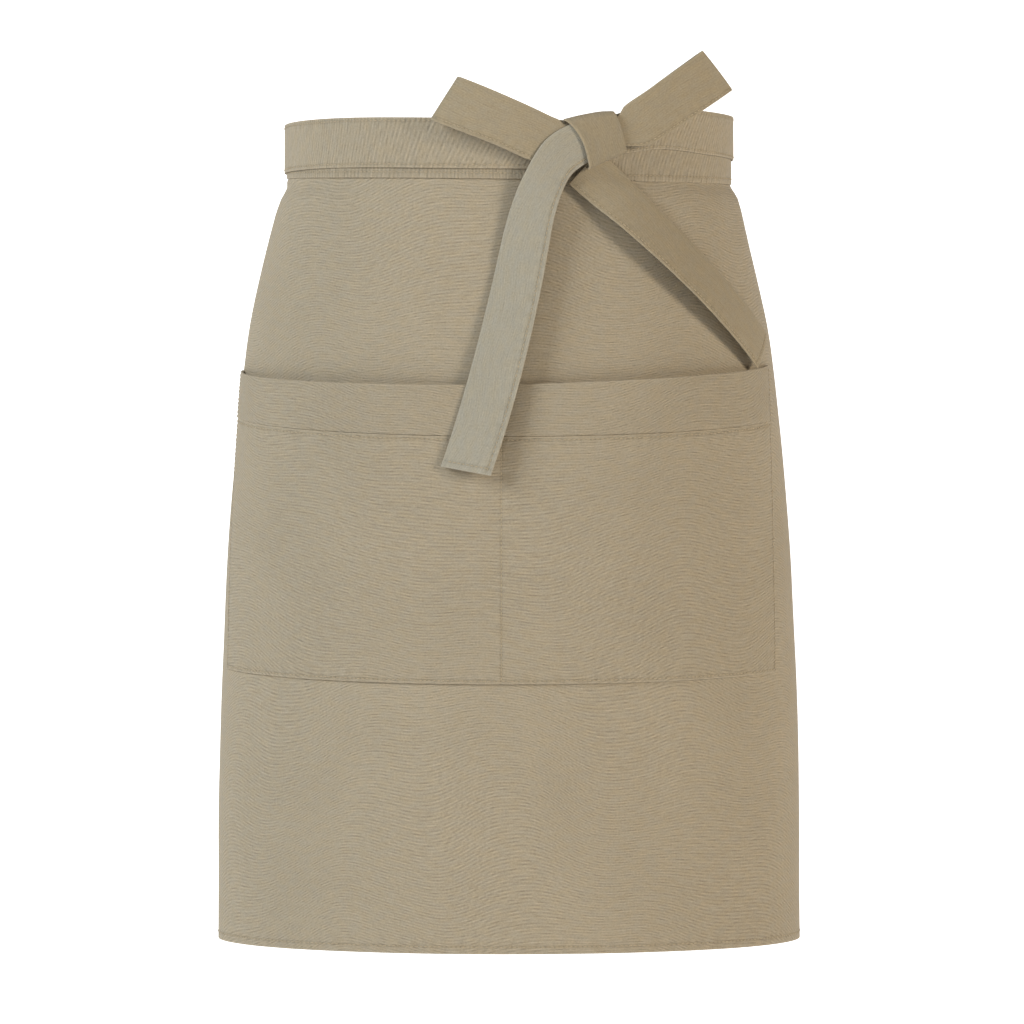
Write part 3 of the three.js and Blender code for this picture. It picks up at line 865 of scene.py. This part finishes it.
def knot():
    """A short band round the roots of the loops, which fans out to the right."""
    rear = 5 * PLY
    front = 9 * PLY + WALL
    outer = (front + rear) / 2
    full = (front - rear) / 2
    radius = full - WALL / 2
    section = [(k / 14, 0, radius) for k in range(15)]
    section += [(1, degrees, 0) for degrees in range(15, 180, 15)]
    section += [(1 - k / 14, 0, -radius) for k in range(15)]
    section += [(0, degrees, 0) for degrees in range(195, 360, 15)]
    section.append(section[0])
    around = [(cut, 0, k * 1.35) for k, cut in enumerate(section)]
    rims = [(k / 20, 0, k / 20 * TIE_WIDTH * 0.9) for k in range(21)]

    def place(column, row):
        part, end, lift = column[0]
        rim = {name: curve(KNOT, "rim", row[0], name) for name in KNOT[0]}
        top = Vector((rim["top_across"], rim["top_up"])) * TIE_WIDTH
        bottom = Vector((rim["bottom_across"], rim["bottom_up"])) * TIE_WIDTH
        height = (bottom - top).length
        run = (bottom - top) / height
        angle = math.radians(end)
        down = full + part * (height - 2 * full) + math.sin(angle) * radius
        turned = math.cos(angle) * radius if end else lift
        spot = top + run * down
        share = clamp(down / height)
        belly = rim["belly"] * TIE_WIDTH * math.sin(math.pi * share**0.75)
        across = KNOT_ACROSS + spot.x + belly
        up = KNOT_UP + spot.y
        if turned > 0:
            turned += 1.8 * (1 - row[0]) ** 5 * share - 1.1 * row[0] ** 3 * share
        return on_body(turn_at(across, up), up, outer + turned)

    piece = sew("knot_cloth", around, rims, place)
    bpy.ops.object.mode_set(mode="EDIT")
    bpy.ops.mesh.select_all(action="SELECT")
    bpy.ops.mesh.remove_doubles(threshold=0.02 * MM)
    bpy.ops.object.mode_set(mode="OBJECT")
    thicken(piece, STRIP_WALL, STRIP_EDGE)
    return piece


# The colours of the cloth and of the sewing thread. The bow's khaki is a darker, warmer copy of
# the cloth's, painted shade; the left tail's is a paler, greyer copy, painted light.
KHAKI = linear(170, 158, 138)
SHADED_BOW_KHAKI = linear(168, 155, 132)
LIT_TAIL_KHAKI = linear(162, 156, 142)
THREAD = linear(192, 176, 148)

STITCH = one_stitch()
sewing_thread = thread("sewing_thread", THREAD)

# The panel with its hems
hem_line = HEM + HEM_STITCH_UP
left_line = PANEL_LEFT + SIDE_STITCH_IN
right_line = PANEL_RIGHT - SIDE_STITCH_IN
# Seam lines get painted shade in their grooves; fold lines get a painted highlight along the
# hems' folded edges.
panel_seams = (("across", left_line), ("across", right_line), ("up", hem_line))
panel_fold_highlights = (("across", PANEL_LEFT), ("across", PANEL_RIGHT), ("up", HEM))
# The panel's khaki is made 6% lighter: painted light.
panel_twill = twill(
    "panel_twill", shade(KHAKI, 1.06), 2.05, seams=panel_seams, fold_highlights=panel_fold_highlights, bend=0.002
)
panel = main_panel()


def on_panel(across, level, extra):
    return on_cloth(across, level, WALL + extra)


hem_runs = [
    (on_panel, (PANEL_LEFT + 1, hem_line), (PANEL_RIGHT - 1, hem_line), PANEL_WIDTH),
    (on_panel, (left_line, HEM + 2), (left_line, BAND_BOTTOM), PANEL_DROP),
    (on_panel, (right_line, HEM + 2), (right_line, BAND_BOTTOM), PANEL_DROP),
]
hem_stitches = stitch("hem_stitches", hem_runs, sewing_thread)
declare(
    panel,
    "main_panel",
    panel_twill,
    (PANEL_WIDTH + 2 * HEM_TURN, PANEL_DROP + PANEL_TUCK + HEM_TURN - 3),
)

# The waistband
band_line = BAND_BOTTOM + BAND_STITCH_UP
# The stitch line gets painted shade in its groove; the folded top and bottom edges get a
# painted highlight.
band_seams = (("up", band_line),)
band_fold_highlights = (("up", BAND_BOTTOM), ("up", BAND_TOP))
band_twill = twill(
    "waistband_twill", KHAKI, 2.5, upright=True, seams=band_seams, fold_highlights=band_fold_highlights
)
band = waistband()


def on_waistband(across, level, extra):
    return on_band(across, level, PLY + WALL + extra)


band_left = PANEL_LEFT - WAISTBAND_OVERHANG + 2
band_right = PANEL_RIGHT + WAISTBAND_OVERHANG - 2
band_length = band_right - band_left
band_runs = [(on_waistband, (band_left, band_line), (band_right, band_line), band_length)]
band_stitches = stitch("waistband_stitches", band_runs, sewing_thread)
declare(
    band,
    "waistband",
    band_twill,
    (PANEL_WIDTH + 2 * WAISTBAND_OVERHANG, 2 * WAISTBAND_HEIGHT + 8),
)

# The pocket and its band
pocket_sides = (POCKET_LEFT + 2.2, POCKET_DIVIDER, POCKET_RIGHT - 2.2)
pocket_levels = (POCKET_BOTTOM + 1.9, POCKET_SEAM - 2.6)
# Painted shade along the pocket's seams and a painted highlight along its folded edges.
side_seams = tuple(("across", place) for place in pocket_sides)
pocket_seams = side_seams + tuple(("up", place) for place in pocket_levels)
side_fold_highlights = (("across", POCKET_LEFT), ("across", POCKET_RIGHT))
pocket_fold_highlights = side_fold_highlights + (("up", POCKET_BOTTOM), ("up", POCKET_SEAM - 0.3))
mouth_fold_highlights = side_fold_highlights + (("up", POCKET_TOP),)
# The pocket's khaki is made 3% lighter than its band's: painted light.
pocket_lit_khaki = shade(KHAKI, 1.03)
pocket_twill = twill(
    "pocket_twill", pocket_lit_khaki, 2.05, seams=pocket_seams, fold_highlights=pocket_fold_highlights, bend=-0.0015
)
mouth_twill = twill(
    "pocket_band_twill", KHAKI, 2.0, seams=side_seams, fold_highlights=mouth_fold_highlights, bend=-0.003
)
pocket = pocket_front(
    "pocket_cloth", POCKET_BOTTOM, POCKET_SEAM - 0.3, 7, 5, TURN_GAP - 0.05, WALL
)
mouth = pocket_front(
    "pocket_band_cloth", POCKET_SEAM, POCKET_TOP, 0, POCKET_BAND - 2, 0.95, POCKET_BAND_WALL
)


def on_pocket(across, level, extra):
    wall = WALL if level < POCKET_SEAM else POCKET_BAND_WALL
    lift = pocket_lift(across, level) + wall + extra
    return on_cloth(pocket_across(across, level), level, lift)


pocket_width = POCKET_RIGHT - POCKET_LEFT
low, seam = pocket_levels
mouth_top = POCKET_TOP - 1.5
pocket_runs = [
    (on_pocket, (POCKET_LEFT + 2, low), (POCKET_RIGHT - 2, low), pocket_width),
    (on_pocket, (POCKET_LEFT + 2, seam), (POCKET_RIGHT - 2, seam), pocket_width),
]
for side in pocket_sides:
    pocket_runs.append((on_pocket, (side, low), (side, mouth_top), POCKET_HEIGHT))
pocket_stitches = stitch("pocket_stitches", pocket_runs, sewing_thread)
declare(
    pocket,
    "pocket_panel",
    pocket_twill,
    (pocket_width + 14, POCKET_HEIGHT - POCKET_BAND + 12),
)
declare(
    mouth,
    "pocket_band",
    mouth_twill,
    (pocket_width + 14, 2 * POCKET_BAND),
)

# The ties round the back
# Painted shade along the ties' seams and a painted highlight along their folded edges, also
# used for the bow's strips.
tie_seams = (("up", -TIE_WIDTH * 0.43), ("up", TIE_WIDTH * 0.43))
tie_fold_highlights = (("up", -TIE_WIDTH / 2), ("up", TIE_WIDTH / 2))
# The ties' khaki is made 5% lighter than the waistband's: painted light.
tie_twill = twill("tie_twill", shade(KHAKI, 1.05), 2.6, True, tie_seams, tie_fold_highlights)
for name, rows, side in (("tie_left", LEFT_TIE, -1), ("tie_right", RIGHT_TIE, 1)):
    piece, place, ends, length = tie(name + "_cloth", rows, side)

    def on_outside(degrees, part, extra, place=place):
        return place(degrees, part, STRIP_WALL / 2 + extra)

    low, high = ends
    runs = []
    for part in (-0.43, 0.43):
        runs.append((on_outside, (low + 1, part), (high - 1, part), length))
    stitches = stitch(name + "_stitches", runs, sewing_thread)
    declare(
        piece,
        name,
        tie_twill,
        (length, TIE_WIDTH),
    )

# The bow
# The knot's khaki is made 8% darker, painted shade, and lightened twice along its left rim, a
# painted highlight.
knot_fold_highlights = (("up", 0.2), ("up", 0.7))
knot_twill = twill("knot_twill", shade(SHADED_BOW_KHAKI, 0.92), 1.7, fold_highlights=knot_fold_highlights, ribs=0.4)
# The left tail's khaki is made 14% lighter, painted light; the right tail keeps the bow's
# shaded khaki.
tails = (
    ("tail_left", "left_tail", LEFT_TAIL, LEFT_TAIL_LENGTH, 2.2, LIT_TAIL_KHAKI, 1.14, 0.4),
    ("tail_right", "right_tail", RIGHT_TAIL, RIGHT_TAIL_LENGTH, 6.4, SHADED_BOW_KHAKI, 1.0, -0.42),
)
for name, root, route, length, seed, colour, painted_light_share, part in tails:
    # Painted shade along the tail's seams and a painted highlight along its folded edges and
    # end.
    tail_seams = (("up", part * TIE_WIDTH), ("across", length * 0.982))
    tail_fold_highlights = tie_fold_highlights + (("across", length),)
    painted_light_khaki = shade(colour, painted_light_share)
    material = twill(name + "_twill", painted_light_khaki, 1.7, False, tail_seams, tail_fold_highlights, 0.4)
    piece, place = tail(name + "_cloth", ROOTS[root], route, length, seed)

    def on_outside(share, part, extra, place=place):
        return place(share, part, STRIP_WALL / 2 + extra)

    runs = [
        (on_outside, (0.02, part), (0.99, part), length),
        (on_outside, (0.982, -0.4), (0.982, 0.4), TIE_WIDTH * 0.8),
    ]
    stitches = stitch(name + "_stitches", runs, sewing_thread)
    declare(
        piece,
        name,
        material,
        (length, TIE_WIDTH),
    )

ears = (
    ("ear_left", "left_ear", LEFT_EAR, LEFT_EAR_LENGTH, 4.1, 0.42),
    ("ear_right", "right_ear", RIGHT_EAR, RIGHT_EAR_LENGTH, 9.3, -0.44),
)
for name, root, route, length, seed, part in ears:
    # Painted shade along the ear's seam line.
    ear_seams = (("up", part * TIE_WIDTH),)
    material = twill(name + "_twill", SHADED_BOW_KHAKI, 1.7, False, ear_seams, tie_fold_highlights, 0.4)
    piece, front, straight, whole = ear(name + "_cloth", ROOTS[root], route, length, seed)

    def on_outside(share, part, extra, front=front):
        return front(share, part, STRIP_WALL / 2 + extra)

    runs = [
        (on_outside, (0.1, part), (straight, part), length),
    ]
    stitches = stitch(name + "_stitches", runs, sewing_thread)
    declare(
        piece,
        name,
        material,
        (whole, TIE_WIDTH),
    )

knot_piece = knot()
declare(
    knot_piece,
    "bow_knot",
    knot_twill,
    (KNOT_ROUND, TIE_WIDTH * 0.9),
)


def pale_paper(name, glow):
    material = bpy.data.materials.new(name)
    material.use_nodes = True
    shader = material.node_tree.nodes["Principled BSDF"]
    shader.inputs["Base Color"].default_value = (0.93, 0.93, 0.92, 1)
    shader.inputs["Roughness"].default_value = 0.9
    shader.inputs["Emission Color"].default_value = (1, 1, 1, 1)
    shader.inputs["Emission Strength"].default_value = glow
    return material


def paper(name, profile, glow):
    """A wide sheet of studio paper along a side profile of (y, z) places in metres."""
    strips = len(profile) - 1
    bpy.ops.object.select_all(action="DESELECT")
    bpy.ops.mesh.primitive_grid_add(x_subdivisions=1, y_subdivisions=strips, size=1)
    piece = bpy.context.object
    piece.name = name
    for vertex in piece.data.vertices:
        y, z = profile[round((vertex.co.y + 0.5) * strips)]
        vertex.co = Vector((vertex.co.x * 14, y, z))
    bpy.ops.object.shade_smooth()
    piece.data.materials.append(pale_paper(name, glow))


def studio():
    """A pale floor well below the apron, and a lit paper sweep far behind it."""
    floor = -1.1
    back = 3.2
    bend = 1.6
    paper("studio_floor", [(-6.0, floor), (back, floor)], 0.15)
    sweep = [(back, floor)]
    for degrees in range(5, 91, 5):
        angle = math.radians(degrees)
        sweep.append((back + bend * math.sin(angle), floor + bend * (1 - math.cos(angle))))
    sweep += [(back + bend, floor + bend + 0.5 * k) for k in range(1, 6)]
    paper("studio_wall", sweep, 1.0)


def soft_light(name, place, aim, size, power, colour):
    light = bpy.data.lights.new(name, "AREA")
    light.shape = "SQUARE"
    light.size = size
    light.energy = power
    light.color = colour
    lamp = bpy.data.objects.new(name, light)
    lamp.location = place
    lamp.rotation_euler = (Vector(aim) - Vector(place)).to_track_quat("-Z", "Y").to_euler()
    bpy.context.collection.objects.link(lamp)


def camera():
    """Level with the middle of the apron, three metres in front, with a long lens."""
    lens = bpy.data.cameras.new("studio_camera")
    lens.sensor_width = 36
    lens.lens = 4380 / 1024 * 36
    eye = bpy.data.objects.new("studio_camera", lens)
    eye.location = (0.00205, -3, -0.2383)
    eye.rotation_euler = (math.pi / 2, 0, 0)
    bpy.context.collection.objects.link(eye)
    bpy.context.scene.camera = eye


studio()
soft_light("left_light", (-2.8, -1.8, 1.4), (0, 0, -0.3), 1.6, 88, (0.96, 1.0, 0.995))
soft_light("right_light", (3.0, -2.2, 0.7), (0, 0, -0.3), 1.1, 67, (1.0, 0.895, 0.735))
world = bpy.data.worlds.new("studio_air")
world.use_nodes = True
world.node_tree.nodes["Background"].inputs["Color"].default_value = (1.0, 0.97, 0.92, 1)
world.node_tree.nodes["Background"].inputs["Strength"].default_value = 0.1
bpy.context.scene.world = world
bpy.context.scene.view_settings.view_transform = "Standard"
camera()
